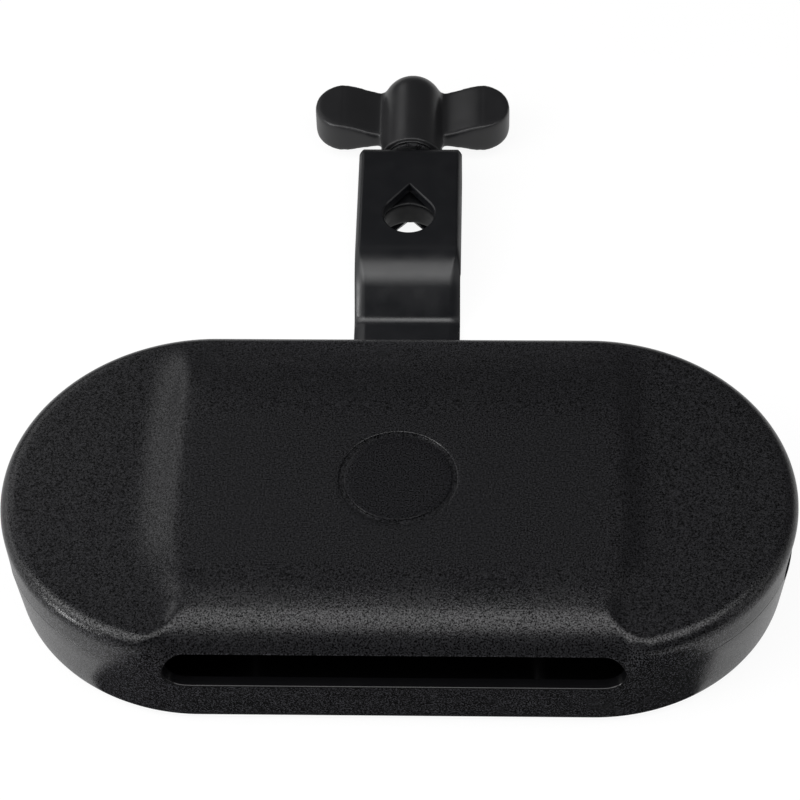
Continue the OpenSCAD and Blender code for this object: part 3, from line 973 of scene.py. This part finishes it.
class BuildStage(bpy.types.Operator):
    """Build the floor, the lights, the background and the camera"""

    bl_idname = "percussion_block.build_stage"
    bl_label = "Stage"

    def execute(self, context):
        scene = context.scene
        self.build_floor()
        self.build_background(scene)
        add_area_light("overhead", (0, -0.152, 0.62), (0, -0.13, 0), 1.2, 0.42, 4.3)
        add_area_light("left_high", (-0.7, -0.25, 0.62), (0, 0, 0.02), 0.7, 0.35, 2.6)
        add_area_light("left_rear", (-0.53, 0.66, 0.56), (0, 0, 0.02), 0.6, 0.45, 0.8)
        add_area_light("left_panel", (-0.9, 0.1, 0.24), (0, 0.05, 0.02), 1.25, 0.4, 1.8)
        add_area_light("left_low", (-0.77, -0.35, 0.17), (0, 0.09, 0.01), 0.2, 0.1, 1.6)
        bounce = add_area_light("bounce_card", (0, 0.056, 0.05), (0, 0.09, 0.012), 0.1, 0.02,
                                0.012)
        bounce.visible_camera = False
        add_area_light("right_panel", (0.95, -0.1, 0.35), (0, 0, 0.02), 0.6, 0.4, 0.6)
        add_area_light("rear_strip", (0, 0.59, 0.82), (0, -0.02, 0.03), 1.2, 0.05, 0.14)
        self.build_flag()
        self.build_camera(scene)
        scene.view_settings.view_transform = "Standard"
        return {"FINISHED"}

    def build_floor(self):
        """Lays the pale floor, which glows a little so that it shows white."""
        mesh_data = bmesh.new()
        bmesh.ops.create_grid(mesh_data, x_segments=1, y_segments=1, size=3)
        floor = new_object("floor", mesh_data)
        material, shader = new_material("pale_floor")
        shader.inputs["Base Color"].default_value = (0.9, 0.9, 0.9, 1)
        shader.inputs["Roughness"].default_value = 0.9
        shader.inputs["Specular IOR Level"].default_value = 0.1
        links = material.node_tree.links
        ray = add_node(material, "ShaderNodeLightPath")
        glow = add_node(material, "ShaderNodeEmission")
        strength = add_node(material, "ShaderNodeMapRange")
        strength.inputs["To Min"].default_value = 0.7
        strength.inputs["To Max"].default_value = 1.04
        links.new(ray.outputs["Is Camera Ray"], strength.inputs["Value"])
        links.new(strength.outputs["Result"], glow.inputs["Strength"])
        mix = add_node(material, "ShaderNodeMixShader")
        mix.inputs[0].default_value = 0.88
        links.new(shader.outputs[0], mix.inputs[1])
        links.new(glow.outputs[0], mix.inputs[2])
        links.new(mix.outputs[0], material.node_tree.nodes["Material Output"].inputs["Surface"])
        floor.data.materials.append(material)

    def build_flag(self):
        """Lays a dark card in front of the block, seen only in its reflections: painted shade for
        the floor in front of the block.
        """
        mesh_data = bmesh.new()
        bmesh.ops.create_grid(mesh_data, x_segments=1, y_segments=1, size=0.5)
        bmesh.ops.scale(mesh_data, vec=(0.17, 0.2, 1), verts=mesh_data.verts)
        bmesh.ops.translate(mesh_data, vec=(0.005, -0.142, 0.0003), verts=mesh_data.verts)
        card = new_object("front_card", mesh_data)
        material, shader = new_material("floor_shade_card")
        shader.inputs["Base Color"].default_value = (0.03, 0.03, 0.03, 1)
        shader.inputs["Roughness"].default_value = 1
        card.data.materials.append(material)
        # The card is hidden from the camera, diffuse light and shadows, so it acts only as painted
        # shade in the reflections.
        card.visible_camera = False
        card.visible_diffuse = False
        card.visible_shadow = False

    def build_background(self, scene):
        """Makes the background white to the camera and dim as a light."""
        world = scene.world or bpy.data.worlds.new("studio")
        scene.world = world
        world.use_nodes = True
        nodes, links = world.node_tree.nodes, world.node_tree.links
        nodes.clear()
        ray = nodes.new("ShaderNodeLightPath")
        dim = nodes.new("ShaderNodeBackground")
        dim.inputs["Color"].default_value = (1, 1, 1, 1)
        dim.inputs["Strength"].default_value = 0.085
        white = nodes.new("ShaderNodeBackground")
        white.inputs["Color"].default_value = (1, 1, 1, 1)
        white.inputs["Strength"].default_value = 1
        mix = nodes.new("ShaderNodeMixShader")
        out = nodes.new("ShaderNodeOutputWorld")
        links.new(ray.outputs["Is Camera Ray"], mix.inputs[0])
        links.new(dim.outputs[0], mix.inputs[1])
        links.new(white.outputs[0], mix.inputs[2])
        links.new(mix.outputs[0], out.inputs["Surface"])

    def build_camera(self, scene):
        """Sets up the camera, which looks down on the block from the front."""
        elevation, azimuth, roll = (math.radians(a) for a in (49.058, 2.677, -1.719))
        back = Vector((math.sin(azimuth) * math.cos(elevation),
                       -math.cos(azimuth) * math.cos(elevation), math.sin(elevation)))
        level = Vector((math.cos(azimuth), math.sin(azimuth), 0))
        upright = back.cross(level)
        right = level * math.cos(roll) + upright * math.sin(roll)
        up = upright * math.cos(roll) - level * math.sin(roll)
        target = Vector((-1.45, 55.594, 0)) * mm
        data = bpy.data.cameras.new("camera")
        data.lens, data.sensor_width = 135.349, 36
        data.clip_start, data.clip_end = 0.01, 20
        camera = bpy.data.objects.new("camera", data)
        turn = Matrix((right, up, back)).transposed().to_4x4()
        camera.matrix_world = Matrix.Translation(target + back * 811.702 * mm) @ turn
        scene.collection.objects.link(camera)
        scene.camera = camera


class PercussionBlockPanel(bpy.types.Panel):
    """Lists the steps that build the block."""

    bl_idname = "VIEW3D_PT_percussion_block"
    bl_label = "Percussion block"
    bl_space_type = "VIEW_3D"
    bl_region_type = "UI"
    bl_category = "Percussion block"

    def draw(self, context):
        scene = context.scene
        for group in (scene.block_sizes, scene.clamp_sizes, scene.finish_colours):
            column = self.layout.column()
            for name in group.__annotations__:
                column.prop(group, name)
        for step in build_steps:
            self.layout.operator(step.bl_idname)


build_steps = (BuildShells, BuildClamp, FinishSmallParts, BuildStage)
size_groups = {"block_sizes": BlockSizes, "clamp_sizes": ClampSizes,
               "finish_colours": FinishColours}


def register():
    """Adds the classes and their settings to Blender."""
    for item in (*size_groups.values(), *build_steps, PercussionBlockPanel):
        bpy.utils.register_class(item)
    for name, group in size_groups.items():
        setattr(bpy.types.Scene, name, PointerProperty(type=group))


def unregister():
    """Takes the classes and their settings out again."""
    for name in size_groups:
        delattr(bpy.types.Scene, name)
    for item in (*size_groups.values(), *build_steps, PercussionBlockPanel):
        bpy.utils.unregister_class(item)


def main():
    """Builds the whole scene."""
    register()
    for step in build_steps:
        group, name = step.bl_idname.split(".")
        getattr(getattr(bpy.ops, group), name)()


if __name__ == "__main__":
    main()
